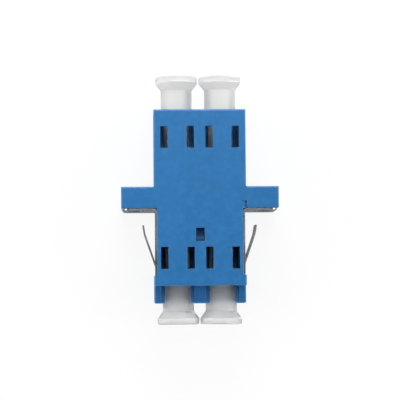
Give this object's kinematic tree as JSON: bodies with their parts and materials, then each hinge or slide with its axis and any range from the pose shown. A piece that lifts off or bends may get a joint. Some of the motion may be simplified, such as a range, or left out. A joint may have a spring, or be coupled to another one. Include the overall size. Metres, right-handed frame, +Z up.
{
  "type": "duplex fibre adapter",
  "caption": "Flanged duplex adapter for small-form fibre plugs, with latch windows, a folded panel spring clip, ceramic alignment sleeves and push-in dust caps.",
  "frame": {"origin": "on the resting broad face, on the centre line, under the mating plane in the middle of the flange", "axes": "+X across the ports, +Y along the light path from the stepped insert end to the plain end, +Z up through the latch-window face"},
  "size_m": [0.022, 0.035, 0.0093],
  "materials": {
    "blue_plastic": "moulded, fine satin grain",
    "cap_plastic": "soft, milky and slightly translucent",
    "spring_steel": "rolled stainless sheet",
    "ceramic": null
  },
  "bodies": {
    "adapter": {"housing": "blue_plastic", "port_insert": "blue_plastic", "split_sleeve_left": "ceramic", "split_sleeve_right": "ceramic", "mounting_clip": "spring_steel"},
    "left_front_cap": {"dust_cap_left_front": "cap_plastic"},
    "right_front_cap": {"dust_cap_right_front": "cap_plastic"},
    "left_rear_cap": {"dust_cap_left_rear": "cap_plastic"},
    "right_rear_cap": {"dust_cap_right_rear": "cap_plastic"}
  },
  "joints": [
    {"name": "left_front_cap_pull", "type": "slide", "parent": "adapter", "child": "left_front_cap", "axis": [0, 1, 0], "range_m": [0, 0.0115]},
    {"name": "right_front_cap_pull", "type": "slide", "parent": "adapter", "child": "right_front_cap", "axis": [0, 1, 0], "range_m": [0, 0.0115]},
    {"name": "left_rear_cap_pull", "type": "slide", "parent": "adapter", "child": "left_rear_cap", "axis": [0, -1, 0], "range_m": [0, 0.0135]},
    {"name": "right_rear_cap_pull", "type": "slide", "parent": "adapter", "child": "right_rear_cap", "axis": [0, -1, 0], "range_m": [0, 0.0135]}
  ]
}
